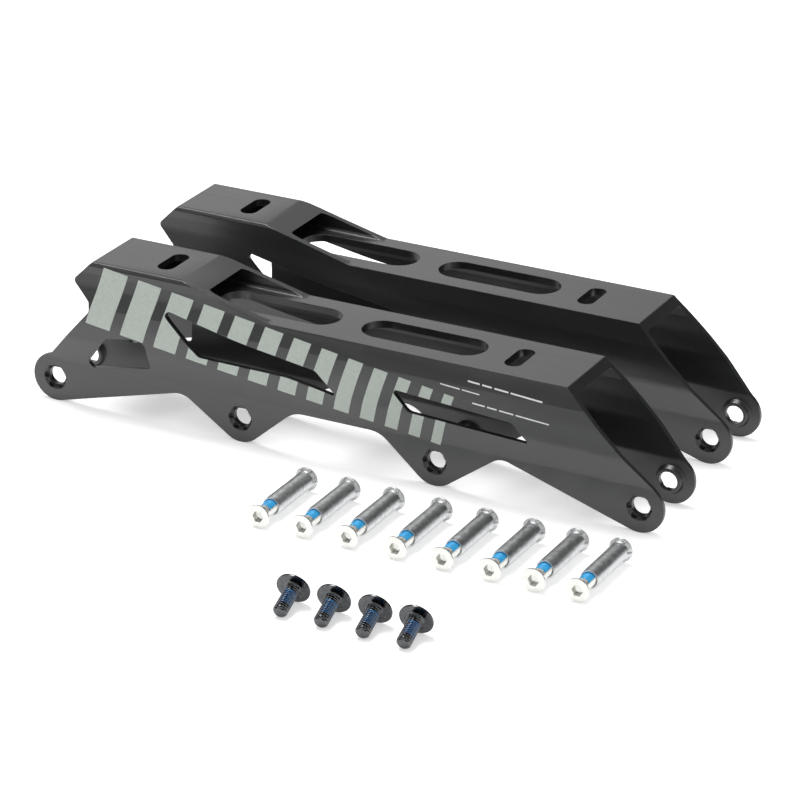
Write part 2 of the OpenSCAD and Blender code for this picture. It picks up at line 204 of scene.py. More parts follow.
def hang_card(name, corners, made):
    """A flat card that only reflections see."""
    mesh = bpy.data.meshes.new(name)
    mesh.from_pydata(corners, [], [(0, 1, 2, 3)])
    card = bpy.data.objects.new(name, mesh)
    bpy.context.scene.collection.objects.link(card)
    mesh.materials.append(made)
    card.visible_camera = card.visible_diffuse = card.visible_shadow = card.visible_transmission = False
    card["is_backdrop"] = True


black_flock = card_finish("black_flock_card", "#202020")
dark_grey = card_finish("dark_grey_card", "#505050")
mid_grey = card_finish("mid_grey_card", "#808080")
hang_card("front_card", [(-4, -0.3, 0.004), (4, -0.3, 0.004), (4, -1.2, 0.5), (-4, -1.2, 0.5)], black_flock)
hang_card("top_card", [(-4, -2.4, 2.5), (4, -2.4, 2.5), (4, 4.2, 2.5), (-4, 4.2, 2.5)], mid_grey)
hang_card("right_card", [(0.3, 3.0, 0.02), (3.0, 0.3, 0.02), (3.0, 0.3, 2.5), (0.3, 3.0, 2.5)], dark_grey)

# %% [markdown]
# ## The camera
#
# The camera looks down on the set from the heel side of the right frame's outer face. Its place, angles and
# lens were solved from the eight axle holes, so the render can be laid over the photograph.

# %% Camera
CAMERA_PLACE = (0.67836, -1.22555, 0.65735)
CAMERA_TURN = (66.0119, -0.2638, 27.7130)
LENS_MM, SENSOR_MM = 166.14, 36.0
lens = bpy.data.cameras.new("camera")
lens.lens, lens.sensor_width = LENS_MM, SENSOR_MM
lens.clip_start, lens.clip_end = 0.05, 50
camera = bpy.data.objects.new("camera", lens)
camera.location = CAMERA_PLACE
camera.rotation_euler = [radians(a) for a in CAMERA_TURN]
bpy.context.scene.collection.objects.link(camera)
bpy.context.scene.camera = camera
bpy.context.scene.view_settings.view_transform = "Standard"
print("camera is", round(Vector(CAMERA_PLACE).length, 3), "m from the set")

# %% [markdown]
# ## Finishes
#
# Each finish starts from what the real one is and how its surface was made. All patterns read Object
# coordinates in metres, so their scales are given in millimetres. A helper makes the material with its
# main shader, and returns the node tree to add the patterns to.

# %% Start of a finish
def finish(name, **values):
    """A material with one Principled shader, its plain values set on the shader's own sockets."""
    made = bpy.data.materials.new(name)
    made.use_nodes = True
    tree = made.node_tree
    tree.nodes.clear()
    shader = add(tree, "ShaderNodeBsdfPrincipled", {k.replace("_", " "): v for k, v in values.items()})
    add(tree, "ShaderNodeOutputMaterial", {"Surface": shader})
    return made, tree, shader


def grain(tree, size, stretch=(1, 1, 1), detail=3.0):
    """Noise with grains of a given size in millimetres, stretched along the axes by the factors."""
    where = add(tree, "ShaderNodeTexCoord").outputs["Object"]
    placed = add(tree, "ShaderNodeMapping", {"Vector": where, "Scale": [1 / s for s in stretch]})
    return add(tree, "ShaderNodeTexNoise", {"Vector": placed, "Scale": per_mm(size), "Detail": detail})


FULL_RANGE = {"From Min": 0.3, "From Max": 0.7}


def pattern_finish(tree, shader, colours, roughness, reliefs):
    """Lets patterns drive a finish.

    colours is a pattern and the two hex colours that it runs between. roughness lists patterns, each with
    the low and the high value that it adds. reliefs lists patterns with a strength and a depth in
    millimetres, each laid on the one before.
    """
    pattern, dark, light = colours
    share = add(tree, "ShaderNodeMapRange", {"Value": pattern} | FULL_RANGE)
    mixed = add(tree, "ShaderNodeMix", {0: share, 6: linear(dark), 7: linear(light)}, data_type="RGBA")
    tree.links.new(mixed.outputs[2], shader.inputs["Base Color"])
    total = None
    for pattern, low, high in roughness:
        part = add(tree, "ShaderNodeMapRange", {"Value": pattern, "To Min": low, "To Max": high} | FULL_RANGE)
        total = add(tree, MATH, {0: total, 1: part}, operation="ADD") if total else part
    if total:
        tree.links.new(total.outputs[0], shader.inputs["Roughness"])
    normal = {}
    for height, strength, depth in reliefs:
        relief = {"Height": height, "Strength": strength, "Distance": depth * MM}
        normal = {"Normal": add(tree, "ShaderNodeBump", relief | normal)}
    tree.links.new(normal["Normal"].outputs[0], shader.inputs["Normal"])


print("finish helpers ready")

# %% [markdown]
# **Black anodised aluminium.** The extrusion is blasted with fine beads and anodised. Anodising grows a
# clear hard oxide that holds the black dye, so it shines like a satin glaze and not like bare metal: the
# shader is not metallic, and its IOR of 1.77 is that of aluminium oxide. The beads leave a grain of about
# 0.1 mm, too fine for this render, and it is drawn at 0.45 mm. The die leaves faint lines along the
# extrusion, which runs along X.

# %% Black anodised aluminium
anodised, tree, shader = finish("anodised_aluminium_bead_blasted_black", Roughness=0.36, IOR=1.77)
beads = grain(tree, 0.45, detail=2)
die_lines = grain(tree, 0.9, stretch=(90, 1, 1), detail=4)
pattern_finish(tree, shader, (grain(tree, 35), "#121314", "#1a1b1c"),
               [(beads, -0.04, 0.04), (die_lines, 0.33, 0.38)],
               [(beads, 0.16, 0.04), (die_lines, 0.05, 0.02)])
print(anodised.name)

# %% [markdown]
# **Screen-printed inks.** Ink on a blasted surface is a thin matt film: the grain shows through it, and it
# is a little uneven. The wide stripes are a pale grey green, and the fine dashes are white.

# %% Printed inks
inks = {}
for name, dark, light in (("screen_printed_ink_grey_green", "#b4beb6", "#c0c8c1"),
                          ("screen_printed_ink_white", "#e4e6e4", "#f2f3f2")):
    ink, tree, shader = finish(name, Roughness=0.5, IOR=1.5)
    pattern_finish(tree, shader, (grain(tree, 1.2), dark, light), [],
                   [(grain(tree, 0.45, detail=2), 0.1, 0.03)])
    inks[name] = ink
green_ink, white_ink = inks.values()
print(list(inks))

# %% [markdown]
# **Zinc-plated turned steel** for the axle barrels. Turning leaves fine rings round the piece, so the
# pattern changes along Y, the way the axles lie, and hardly across it. Plating follows the rings and is a
# little grainy, which gives a satin shine. **Nickel-plated steel** for the axle bolts is brighter.

# %% Plated steels
zinc, tree, shader = finish("zinc_plated_steel_turned", Base_Color=linear("#d6d7d8"), Metallic=1.0,
                            Roughness=0.4)
rings = grain(tree, 0.5, stretch=(12, 1, 12))
bloom = grain(tree, 1.6, detail=4)
pattern_finish(tree, shader, (bloom, "#bfc0c1", "#dedfe0"), [(rings, 0.35, 0.44), (bloom, -0.04, 0.04)],
               [(rings, 0.08, 0.02)])

nickel, tree, shader = finish("nickel_plated_steel_bright", Base_Color=linear("#dddeda"), Metallic=1.0,
                              Roughness=0.24)
film = grain(tree, 1.5)
pattern_finish(tree, shader, (film, "#d4d5d0", "#e4e4e0"), [(film, 0.18, 0.3)],
               [(grain(tree, 0.5, detail=2), 0.08, 0.02)])
print(zinc.name, nickel.name)

# %% [markdown]
# **Black oxide** turns the skin of a steel bolt black and is kept oiled, so it still shines: a dark metal
# with broken highlights. **Thread-lock nylon** is sprayed hot on the thread and stays a little lumpy.

# %% Black oxide and thread lock
oxide, tree, shader = finish("black_oxide_steel_oiled", Base_Color=linear("#5a5b5d"), Metallic=1.0,
                             Roughness=0.14)
film = grain(tree, 1.0, detail=4)
pattern_finish(tree, shader, (film, "#505153", "#666769"), [(film, 0.1, 0.18)],
               [(grain(tree, 0.4, detail=2), 0.05, 0.02)])

nylons = []
for name, dark, light in (("thread_lock_nylon_bright_blue", "#1a94cf", "#35b4ec"),
                          ("thread_lock_nylon_dark_blue", "#0f5088", "#2a7cb8")):
    nylon, tree, shader = finish(name, Roughness=0.42, IOR=1.53)
    lumps = grain(tree, 1.1)
    pattern_finish(tree, shader, (lumps, dark, light), [(lumps, 0.34, 0.52)], [(lumps, 0.35, 0.12)])
    nylons.append(nylon)
axle_nylon, bolt_nylon = nylons
print(oxide.name, axle_nylon.name, bolt_nylon.name)

# %% [markdown]
# ## The frames
#
# The solid frame already has its exact shape, but its mesh is loose triangles with razor edges. A real
# frame is tumbled before it is anodised, which breaks every edge by about a quarter of a millimetre, and
# that thin rounded edge is what catches the light. So a copy is welded, its flat triangles are joined,
# and a bevel rounds each edge that turns by more than 30 degrees. The copy then stands for the solid.

# %% Frames with broken edges
EDGE_BREAK, EDGE_STEPS, SHARP_FROM = 0.25 * MM, 2, 30
SAME_POINT, SAME_PLANE = 0.002 * MM, 0.6


def welded_copy(node, name):
    """The node's mesh in one skin, with its flat faces joined."""
    mesh = frame["nodes"][node].data.copy()
    skin = bmesh.new()
    skin.from_mesh(mesh)
    bmesh.ops.remove_doubles(skin, verts=skin.verts, dist=SAME_POINT)
    bmesh.ops.dissolve_limit(skin, angle_limit=radians(SAME_PLANE), verts=skin.verts, edges=skin.edges)
    skin.to_mesh(mesh)
    skin.free()
    mesh.materials.clear()
    obj = bpy.data.objects.new(name, mesh)
    bpy.context.scene.collection.objects.link(obj)
    return obj


def applied(obj):
    """Turns an object's modifiers into its plain mesh."""
    seen = obj.evaluated_get(bpy.context.evaluated_depsgraph_get())
    mesh = bpy.data.meshes.new_from_object(seen)
    obj.modifiers.clear()
    old, obj.data = obj.data, mesh
    bpy.data.meshes.remove(old)
    return obj


def break_edges(obj):
    """Rounds the sharp edges, and joins the points that end up in one place where short edges meet."""
    bevel = obj.modifiers.new("edge_break", "BEVEL")
    bevel.width, bevel.segments, bevel.limit_method = EDGE_BREAK, EDGE_STEPS, "ANGLE"
    bevel.angle_limit, bevel.use_clamp_overlap = radians(SHARP_FROM), False
    applied(obj)
    skin = bmesh.new()
    skin.from_mesh(obj.data)
    bmesh.ops.remove_doubles(skin, verts=skin.verts, dist=SAME_POINT)
    skin.to_mesh(obj.data)
    skin.free()
    return obj


dressed = {}
for side in ("right", "left"):
    body = break_edges(welded_copy(f"frame_{side}", f"skate_frame_{side}"))
    body.data.materials.append(anodised)
    dressed[side] = body
    print(body.name, "faces:", len(body.data.polygons))

# %% [markdown]
# ## The print on the outer walls
#
# The outer wall of each frame carries a pale band of leaning stripes that get narrower towards the toe, and
# three rows of fine dashes. Ink has no thickness to speak of, so the wall's own faces are cut along the
# stripes' borders and given the ink, which keeps the print exactly on the wall and clear of its windows.

# %% Stripes and dashes
HOLES = {mount["name"]: Vector(mount["pos_m"]) for mount in frame["record"]["mounts"]}
REAR_AXLE = {side: HOLES[f"{side}_axle_hole_1"] for side in dressed}
OUTWARD = {"right": -1, "left": 1}
FACING_OUT, WALL_FROM_AXLE, CUT_SNAP = 0.93, 15 * MM, 0.001 * MM


def wall_faces(skin, side):
    """Faces of the outer wall of a frame, without its broken edges."""
    axle = REAR_AXLE[side]
    return [f for f in skin.faces if f.normal.y * OUTWARD[side] > FACING_OUT
            and (f.calc_center_median().y - axle.y) * OUTWARD[side] > WALL_FROM_AXLE]


def print_on(obj, side, corners, slot):
    """Cuts a convex patch, given by its corners in x and z from the rear axle, out of the wall."""
    axle = REAR_AXLE[side]
    points = [Vector((axle.x + x * MM, 0, axle.z + z * MM)) for x, z in corners]
    middle = sum(points, Vector()) / len(points)
    planes = []
    for a, b in zip(points, points[1:] + points[:1]):
        along = b - a
        out = Vector((along.z, 0, -along.x)).normalized()
        planes.append((a, out if out.dot(a - middle) > 0 else -out))
    low = [min(p[i] for p in points) for i in (0, 2)]
    high = [max(p[i] for p in points) for i in (0, 2)]
    skin = bmesh.new()
    skin.from_mesh(obj.data)
    for point, out in planes:
        near = [f for f in wall_faces(skin, side)
                if all(max(v.co[i] for v in f.verts) > a and min(v.co[i] for v in f.verts) < b
                       for i, a, b in zip((0, 2), low, high))]
        geometry = list({e for f in near for e in f.edges} | {v for f in near for v in f.verts}) + near
        bmesh.ops.bisect_plane(skin, geom=geometry, dist=CUT_SNAP, plane_co=point, plane_no=out)
    inked = 0
    for f in wall_faces(skin, side):
        centre = f.calc_center_median()
        if all((centre - point).dot(out) < 0 for point, out in planes):
            f.material_index = slot
            inked += 1
    skin.to_mesh(obj.data)
    skin.free()
    return inked


BAND_X, FOOT_Z, TOP_Z = 18.0, 31.0, 57.0
FOOT_SLOPE, TOP_SLOPE, LEAN = -0.133, -0.14, 0.32
STRIPE_COUNT, FIRST_X, FIRST_WIDTH, LAST_WIDTH, GAP = 13, 19.0, 12.0, 4.5, 5.2


def stripe(x, width):
    """A leaning stripe that starts at x: its foot and top follow the band's two border lines."""
    foot, top = FOOT_Z + FOOT_SLOPE * (x - BAND_X), TOP_Z + TOP_SLOPE * (x - BAND_X)
    over = LEAN * (top - foot)
    return [(x, foot), (x + width, foot + FOOT_SLOPE * width),
            (x + width + over, top + TOP_SLOPE * width), (x + over, top)]


stripes, x = [], FIRST_X
for i in range(STRIPE_COUNT):
    width = FIRST_WIDTH + (LAST_WIDTH - FIRST_WIDTH) * i / (STRIPE_COUNT - 1)
    stripes.append(stripe(x, width))
    x += width + GAP
print("stripes end at", round(x, 1), "mm from the rear axle")

# Each row of dashes: where it starts, the spans of its dashes along it, and their height.
DASH_SLOPE = -0.066
DASH_ROWS = [((190.0, 37.4), [(0, 9), (10, 18)], 0.5),
             ((202.3, 40.8), [(0, 5.5), (6.6, 11), (12.2, 18.6), (19.6, 34)], 0.7),
             ((205.0, 32.0), [(0, 5.7), (6.8, 11.2), (12.3, 18.8), (19.8, 34.8)], 0.6)]
dashes = []
for (x, z), spans, thick in DASH_ROWS:
    for a, b in spans:
        dashes.append([(x + a, z + DASH_SLOPE * a), (x + b, z + DASH_SLOPE * b),
                       (x + b, z + DASH_SLOPE * b + thick), (x + a, z + DASH_SLOPE * a + thick)])

for side, obj in dressed.items():
    for slot, (ink, patches) in enumerate(((green_ink, stripes), (white_ink, dashes)), start=1):
        obj.data.materials.append(ink)
        inked = sum(print_on(obj, side, corners, slot) for corners in patches)
        print(obj.name, ink.name, "on", inked, "faces")

# %% Frames take their places
FRAME_SMOOTH = 35


def smooth_by_angle(obj, degrees):
    """Shades smoothly over edges that turn by less than the angle, and keeps the others sharp."""
    skin = bmesh.new()
    skin.from_mesh(obj.data)
    for e in skin.edges:
        e.smooth = len(e.link_faces) == 2 and e.calc_face_angle(0) < radians(degrees)
    for f in skin.faces:
        f.smooth = True
    skin.to_mesh(obj.data)
    skin.free()


for side, obj in dressed.items():
    smooth_by_angle(obj, FRAME_SMOOTH)
    weigh = obj.modifiers.new("flat_faces_stay_flat", "WEIGHTED_NORMAL")
    weigh.keep_sharp = True
    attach(obj, "frames_and_bolts")
    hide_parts(f"frame_{side}")
print("frames dressed:", [o.name for o in dressed.values()])

# %% [markdown]
# ## Threads
#
# A screw thread follows a rule: its radius depends only on how far along the bolt and how far round it a
# point is. Geometry Nodes can say that directly. A flat grid is rolled into a tube, one side along the
# bolt and the other round it, and each point's radius comes from the fraction of a pitch that the point
# is past the last crest. The same tree makes the thread-lock patches, with a part of the turn only.

# %% Start of a tree
def new_tree(name, sizes):
    """A geometry node tree with named inputs: (name, socket type, default)."""
    tree = bpy.data.node_groups.new(name, "GeometryNodeTree")
    for label, kind, value in sizes:
        made = tree.interface.new_socket(name=label, in_out="INPUT", socket_type=kind)
        if value is not None:
            made.default_value = value
    tree.interface.new_socket(name="Geometry", in_out="OUTPUT", socket_type="NodeSocketGeometry")
    return tree, add(tree, "NodeGroupInput").outputs


FLOAT, COUNT, MATERIAL = "NodeSocketFloat", "NodeSocketInt", "NodeSocketMaterial"
print("socket types:", FLOAT, COUNT, MATERIAL)

# %% Where each point of the thread lies
thread_tree, given = new_tree("thread_by_rule", [
    ("Length", FLOAT, 0.02), ("Radius", FLOAT, 0.003), ("Depth", FLOAT, 0.0006), ("Pitch", FLOAT, 0.001),
    ("Start", FLOAT, 0.0), ("Run out", FLOAT, 0.0008), ("Arc start", FLOAT, 0.0), ("Arc", FLOAT, 2 * pi),
    ("Rows", COUNT, 160), ("Sides", COUNT, 48), ("Finish", MATERIAL, None)])
t = thread_tree
rows = add(t, MATH, {0: given["Rows"], 1: 1.0}, operation="ADD")
columns = add(t, MATH, {0: given["Sides"], 1: 1.0}, operation="ADD")
sheet = add(t, "GeometryNodeMeshGrid", {"Size X": given["Length"], "Size Y": 1.0, "Vertices X": rows,
                                        "Vertices Y": columns})

# How far along the bolt and how far round it a point is, and how many pitches past the first crest.
place = add(t, "ShaderNodeSeparateXYZ", {0: add(t, "GeometryNodeInputPosition")}).outputs
run = add(t, MATH, {0: given["Length"], 1: 0.5, 2: place[0]}, operation="MULTIPLY_ADD")
turn = add(t, MATH, {0: place[1], 1: 0.5}, operation="ADD")
angle = add(t, MATH, {0: turn, 1: given["Arc"], 2: given["Arc start"]}, operation="MULTIPLY_ADD")
along = add(t, MATH, {0: run, 1: given["Start"]}, operation="ADD")
lengths = add(t, MATH, {0: along, 1: given["Pitch"]}, operation="DIVIDE")
turns = add(t, MATH, {0: angle, 1: 2 * pi}, operation="DIVIDE")
pitches = add(t, MATH, {0: lengths, 1: turns}, operation="SUBTRACT")
print("thread inputs:", [socket.name for socket in given if socket.name])

# %% How deep the thread is there
CREST_END, ROOT_START = 0.18, 0.9

# From the crest at 0 to the root at 1 and back, with a flat crest and a flat root, fading at both ends.
past_crest = add(t, MATH, {0: pitches}, operation="FRACT")
from_root = add(t, MATH, {0: past_crest, 1: 2.0, 2: -1.0}, operation="MULTIPLY_ADD")
distance = add(t, MATH, {0: from_root}, operation="ABSOLUTE")
valley = add(t, MATH, {0: 1.0, 1: distance}, operation="SUBTRACT")
shaped = add(t, "ShaderNodeMapRange", {"Value": valley, "From Min": CREST_END, "From Max": ROOT_START})
to_end = add(t, MATH, {0: given["Length"], 1: run}, operation="SUBTRACT")
from_end = add(t, MATH, {0: run, 1: to_end}, operation="MINIMUM")
fade = add(t, "ShaderNodeMapRange", {"Value": from_end, "From Max": given["Run out"]})
share = add(t, MATH, {0: shaped, 1: fade}, operation="MULTIPLY")
sunk = add(t, MATH, {0: given["Depth"], 1: share}, operation="MULTIPLY")
radius = add(t, MATH, {0: given["Radius"], 1: sunk}, operation="SUBTRACT")
print("the crest takes", CREST_END, "and the root", round(1 - ROOT_START, 2), "of the way between them")

# %% Roll the sheet up
SEAM_GAP = 0.001 * MM
across = []
for wave in ("COSINE", "SINE"):
    ratio = add(t, MATH, {0: angle}, operation=wave)
    across.append(add(t, MATH, {0: radius, 1: ratio}, operation="MULTIPLY"))
rolled = add(t, "ShaderNodeCombineXYZ", {0: across[0], 1: across[1], 2: run})
tube = add(t, "GeometryNodeSetPosition", {"Geometry": sheet, "Position": rolled})
closed = add(t, "GeometryNodeMergeByDistance", {"Geometry": tube, "Distance": SEAM_GAP})
outward = add(t, "GeometryNodeFlipFaces", {0: closed})
whole = add(t, "GeometryNodeRealizeInstances", {0: outward})
coated = add(t, "GeometryNodeSetMaterial", {"Geometry": whole, "Material": given["Finish"]})
add(t, "NodeGroupOutput", {0: coated})
print("thread tree nodes:", len(t.nodes))

# %% Run a tree
def made_by(tree, name, **sizes):
    """Runs a tree with its named inputs and returns the plain mesh that it makes."""
    carrier = bpy.data.objects.new(name, bpy.data.meshes.new(name))
    bpy.context.scene.collection.objects.link(carrier)
    modifier = carrier.modifiers.new(name, "NODES")
    modifier.node_group = tree
    sockets = {s.name: s.identifier for s in tree.interface.items_tree if s.in_out == "INPUT"}
    for label, value in sizes.items():
        modifier[sockets[label.replace("_", " ")]] = value
    bpy.context.view_layer.update()
    seen = carrier.evaluated_get(bpy.context.evaluated_depsgraph_get())
    mesh = bpy.data.meshes.new_from_object(seen)
    carrier.modifiers.clear()
    bpy.data.objects.remove(carrier)
    mesh.name = name
    return mesh


PITCH, DEPTH, SIDES, ROWS_PER_MM = 1.0 * MM, 0.6 * MM, 48, 10
print("a thread has", SIDES * ROWS_PER_MM, "faces per millimetre")

# %% [markdown]
# ## Turned pieces
#
# Bolts and barrels are turned, so each is a profile spun round its axis. The profile is a list of rings.
# A ring has a height and a radius, and a share from 0 to 1 that says how far it is a hexagon: 1 on the
# wall of a hex socket, 0 on turned faces. That gives a socket with flat sides and no boolean cut.

# %% Spin a profile
def spun(rings, sides=SIDES):
    """A skin through rings (height, radius, hexagon share) in millimetres; radius 0 closes an end."""
    skin = bmesh.new()
    loops = []
    for z, r, *hexagon in rings:
        if r == 0:
            loops.append([skin.verts.new((0, 0, z * MM))])
            continue
        share, loop = (hexagon[0] if hexagon else 0), []
        for k in range(sides):
            a = 2 * pi * k / sides
            flat = cos(pi / 6) / cos((a % (pi / 3)) - pi / 6)
            loop.append(skin.verts.new((r * MM * cos(a) * (1 + share * (flat - 1)),
                                        r * MM * sin(a) * (1 + share * (flat - 1)), z * MM)))
        loops.append(loop)
    for low, high in zip(loops, loops[1:]):
        for k in range(sides):
            ring = [low[k % len(low)], low[(k + 1) % len(low)],
                    high[(k + 1) % len(high)], high[k % len(high)]]
            corners = list(dict.fromkeys(ring))
            if len(corners) > 2:
                skin.faces.new(corners)
    return skin


def as_mesh(skin, name, metal):
    """The skin as a mesh, with its faces turned outward and one finish all over."""
    bmesh.ops.recalc_face_normals(skin, faces=skin.faces)
    for f in skin.faces:
        f.material_index = 0
    mesh = bpy.data.meshes.new(name)
    skin.to_mesh(mesh)
    skin.free()
    mesh.materials.append(metal)
    return mesh


def rounded(z, r, dz0, dr0, dz1, dr1, steps=3):
    """Rings round a corner at (z, r), from an offset on the way in to an offset on the way out."""
    out = []
    for i in range(steps + 1):
        t = i / steps
        a, b = (1 - t) ** 2, t ** 2
        out.append((z + a * dz0 + b * dz1, r + a * dr0 + b * dr1))
    return out


print("profile helpers ready")

# %% Axle bolt
HEAD_R, HEAD_RIM, THREAD_R, BOLT_LEN, PLAIN_END, TIP = 5.25, 0.5, 3.0, 20.0, 1.0, 0.4
HEAD_T = HEAD_RIM + HEAD_R - THREAD_R
HEX_ACROSS, HEX_DEPTH, CENTRE_DIP = 4.0, 2.2, 0.5
HEX_R = HEX_ACROSS / 3 ** 0.5
SHANK_THREAD = BOLT_LEN - PLAIN_END
THREAD_FADE = 0.8

# The hex socket, from the middle of its floor up its flat sides and out over its chamfer.
floor_z = -HEAD_T + HEX_DEPTH
head_rings = [(floor_z + CENTRE_DIP, 0), (floor_z, HEX_R * 0.7, 0.6), (floor_z - 0.05, HEX_R * 0.96, 1),
              (floor_z - 0.2, HEX_R, 1), (-HEAD_T + 0.35, HEX_R, 1), (-HEAD_T + 0.12, HEX_R + 0.1, 0.7),
              (-HEAD_T, HEX_R + 0.3, 0.15), (-HEAD_T, HEX_R + 0.45)]
# The flat face, the thin rim and the cone down to the thread.
head_rings += rounded(-HEAD_T, HEAD_R, 0, -0.28, 0.28, 0)
head_rings += rounded(-HEAD_T + HEAD_RIM, HEAD_R, -0.12, 0, 0.1, -0.1)
head_rings += rounded(0, THREAD_R, -0.2, 0.2, 0, 0)
tip_rings = [(SHANK_THREAD, THREAD_R), (BOLT_LEN - TIP, THREAD_R), (BOLT_LEN - TIP * 0.4, THREAD_R - 0.12),
             (BOLT_LEN, THREAD_R - TIP), (BOLT_LEN, 0)]


SEAM = 0.003 * MM


def threaded(name, head, tip, start, length, metal):
    """A bolt along z: its head, a helical thread from start over length, and its tip, in one skin."""
    thread = made_by(thread_tree, name + "_thread", Length=length * MM, Radius=THREAD_R * MM, Depth=DEPTH,
                     Pitch=PITCH, Start=start * MM, Run_out=THREAD_FADE * MM,
                     Rows=int(length * ROWS_PER_MM), Sides=SIDES, Finish=metal)
    thread.transform(Matrix.Translation((0, 0, start * MM)))
    skin = spun(head)
    end = spun(tip)
    part = bpy.data.meshes.new("part")
    end.to_mesh(part)
    end.free()
    skin.from_mesh(part)
    skin.from_mesh(thread)
    bmesh.ops.remove_doubles(skin, verts=skin.verts, dist=SEAM)
    mesh = as_mesh(skin, name, metal)
    bpy.data.meshes.remove(part)
    bpy.data.meshes.remove(thread)
    return mesh


axle_bolt_mesh = threaded("axle_bolt", head_rings, tip_rings, 0.0, SHANK_THREAD, nickel)
print("axle bolt faces:", len(axle_bolt_mesh.polygons))

# %% [markdown]
# A thread-lock patch is a thin coat over part of the thread. The thread tree makes its outer face, less
# deep in the valleys, where the nylon pools. On the axle bolts it stands a few hundredths of a millimetre
# proud; on the mounting bolts it is worn off the crests, and the black metal shows there. The sheet is
# then given a thickness towards the axis, which closes it.

# %% Thread-lock patches
PATCH_FADE, PATCH_SIDES, PATCH_ROOT = 0.5, 32, 0.8


def patch_mesh(name, start, length, side, arc, proud, depth, nylon):
    """A patch from start over length, arc degrees wide round the side, with its valleys depth deep."""
    sheet = made_by(thread_tree, name, Length=length * MM, Radius=(THREAD_R + proud) * MM, Depth=depth * MM,
                    Pitch=PITCH, Start=start * MM, Run_out=PATCH_FADE * MM,
                    Arc_start=radians(side - arc / 2), Arc=radians(arc), Rows=int(length * ROWS_PER_MM),
                    Sides=PATCH_SIDES, Finish=nylon)
    skin = bmesh.new()
    skin.from_mesh(sheet)
    bpy.data.meshes.remove(sheet)
    made = bmesh.ops.extrude_face_region(skin, geom=skin.faces[:], use_keep_orig=True)
    core = (THREAD_R - PATCH_ROOT) * MM
    for v in (g for g in made["geom"] if isinstance(g, bmesh.types.BMVert)):
        scale = core / v.co.xy.length
        v.co.x, v.co.y = v.co.x * scale, v.co.y * scale
    for v in skin.verts:
        v.co.z += start * MM
    return as_mesh(skin, name, nylon)


axle_patch_mesh = patch_mesh("axle_patch", 3.0, 9.0, -120.0, 180.0, 0.05, 0.3, axle_nylon)
print("axle patch faces:", len(axle_patch_mesh.polygons))

# %% [markdown]
# The barrel is the tube half of the axle. Its blind bore takes the bolt's thread, its mouth is chamfered,
# and under its conical head sit six small round keys that drop into the notches of the frame's
# countersink and stop the barrel turning. The keys repeat round the head, so a second tree places them.
# A key is a ball whose halves are pulled apart and flattened: a pin with two low domes, in one closed skin.

# %% Barrel with its keys
BARREL_R, BARREL_LEN, BORE_R, BORE_LEN = 4.0, 30.4, 3.06, 22.0
KEY_COUNT, KEY_R, KEY_RING, KEY_DOME = 6, 0.6, 4.5, 0.3
KEY_SIDES, KEY_LEVELS, ABOVE_EQUATOR = 20, 10, 0.001 * MM
CONE_H = HEAD_R - BARREL_R
CONE_Z = BARREL_LEN - HEAD_RIM - CONE_H

keys_tree, given = new_tree("keys_round_a_head", [
    ("Count", COUNT, 6), ("Ring radius", FLOAT, 0.0045), ("Key radius", FLOAT, 0.0006),
    ("Key length", FLOAT, 0.0017), ("Finish", MATERIAL, None)])
t = keys_tree
ring = add(t, "GeometryNodeMeshCircle", {"Vertices": given["Count"], "Radius": given["Ring radius"]})
ball = add(t, "GeometryNodeMeshUVSphere", {"Segments": KEY_SIDES, "Rings": KEY_LEVELS,
                                           "Radius": given["Key radius"]})
place = add(t, "ShaderNodeSeparateXYZ", {0: add(t, "GeometryNodeInputPosition")}).outputs
half = add(t, MATH, {0: given["Key length"], 1: 0.5}, operation="MULTIPLY")
level = add(t, MATH, {0: place[2], 1: ABOVE_EQUATOR}, operation="SUBTRACT")
end = add(t, MATH, {0: level}, operation="SIGN")
dome = add(t, MATH, {0: place[2], 1: KEY_DOME}, operation="MULTIPLY")
height = add(t, MATH, {0: end, 1: half, 2: dome}, operation="MULTIPLY_ADD")
drawn = add(t, "ShaderNodeCombineXYZ", {0: place[0], 1: place[1], 2: height})
key = add(t, "GeometryNodeSetPosition", {"Geometry": ball, "Position": drawn})
placed = add(t, "GeometryNodeInstanceOnPoints", {"Points": ring, "Instance": key})
whole = add(t, "GeometryNodeRealizeInstances", {0: placed})
coated = add(t, "GeometryNodeSetMaterial", {"Geometry": whole, "Material": given["Finish"]})
add(t, "NodeGroupOutput", {0: coated})

# The bore, its mouth, the outside, the cone, the rim, and the end face with its centre mark.
barrel_rings = [(BORE_LEN + BORE_R / 2, 0), (BORE_LEN, BORE_R), (0.45, BORE_R), (0.08, BORE_R + 0.3)]
barrel_rings += rounded(0, BARREL_R, 0, -0.4, 0.4, 0)
barrel_rings += rounded(CONE_Z, BARREL_R, -0.25, 0, 0.2, 0.2)
barrel_rings += rounded(BARREL_LEN - HEAD_RIM, HEAD_R, -0.1, -0.1, 0.12, 0)
barrel_rings += rounded(BARREL_LEN, HEAD_R, -0.2, 0, 0, -0.25)
barrel_rings += [(BARREL_LEN, 1.2), (BARREL_LEN - 0.25, 0.5), (BARREL_LEN - 0.3, 0)]

key_len = CONE_H + HEAD_RIM / 2
keys = made_by(keys_tree, "keys", Count=KEY_COUNT, Ring_radius=KEY_RING * MM, Key_radius=KEY_R * MM,
               Key_length=key_len * MM, Finish=zinc)
keys.transform(Matrix.Translation((0, 0, (CONE_Z + key_len / 2) * MM)))
skin = spun(barrel_rings)
skin.from_mesh(keys)
barrel_mesh = as_mesh(skin, "axle_barrel", zinc)
print("barrel faces:", len(barrel_mesh.polygons), "with keys:", KEY_COUNT)

# %% [markdown]
# The mounting bolt is short and black, with a wide low head that spreads its grip under the deck. The
# head has a thin rim, a slightly domed face with a hex socket, and a flat washer face round the shank.

